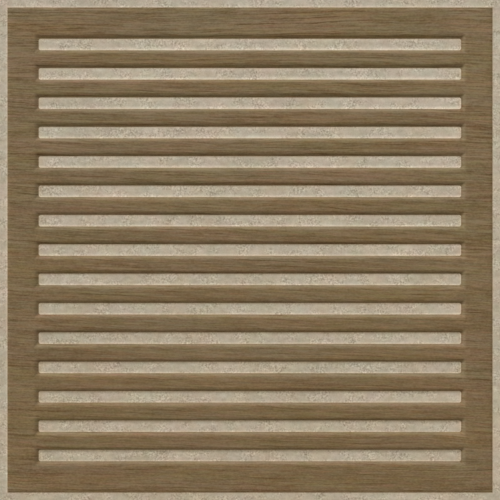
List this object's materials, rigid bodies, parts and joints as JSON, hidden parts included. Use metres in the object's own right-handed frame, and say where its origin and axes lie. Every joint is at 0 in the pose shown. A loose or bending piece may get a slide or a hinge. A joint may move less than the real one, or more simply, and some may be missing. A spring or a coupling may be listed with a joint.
{
  "type": "wood-look ceramic floor tile",
  "caption": "Square wood-look ceramic floor tile: a raised duckboard panel with long pressed slots, a stone-look border, ground edges and a ribbed back for the adhesive.",
  "frame": {"origin": "middle of the tile's back, on the plane of its ribs", "axes": "+Z out of the printed face, +X along the slots, +Y across them"},
  "size_m": [0.45, 0.45, 0.01],
  "materials": {
    "tile": "matte"
  },
  "bodies": {
    "root": {"tile": "tile"}
  },
  "joints": []
}
